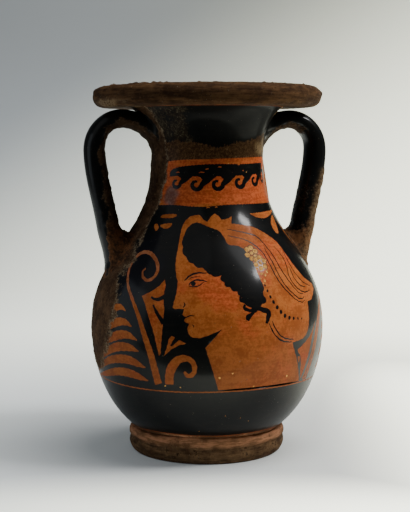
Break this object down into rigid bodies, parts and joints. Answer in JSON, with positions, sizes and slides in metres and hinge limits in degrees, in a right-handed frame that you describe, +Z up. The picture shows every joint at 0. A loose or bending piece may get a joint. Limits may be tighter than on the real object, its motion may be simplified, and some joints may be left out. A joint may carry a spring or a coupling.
{
  "type": "pelike jar",
  "caption": "Pear-shaped two-handled storage jar with a wide flat lip, strap handles, a ring foot and painted red-figure decoration.",
  "frame": {"origin": "centre of the foot's resting ring", "axes": "+Z up along the axis of the jar, -Y towards the front with the painted head, X along the two handles"},
  "size_m": [0.1358, 0.1288, 0.2],
  "materials": {
    "fired_clay": "burnished orange clay under a glossy black slip, worn and crusted"
  },
  "bodies": {
    "root": {"pelike": "fired_clay"}
  },
  "joints": []
}
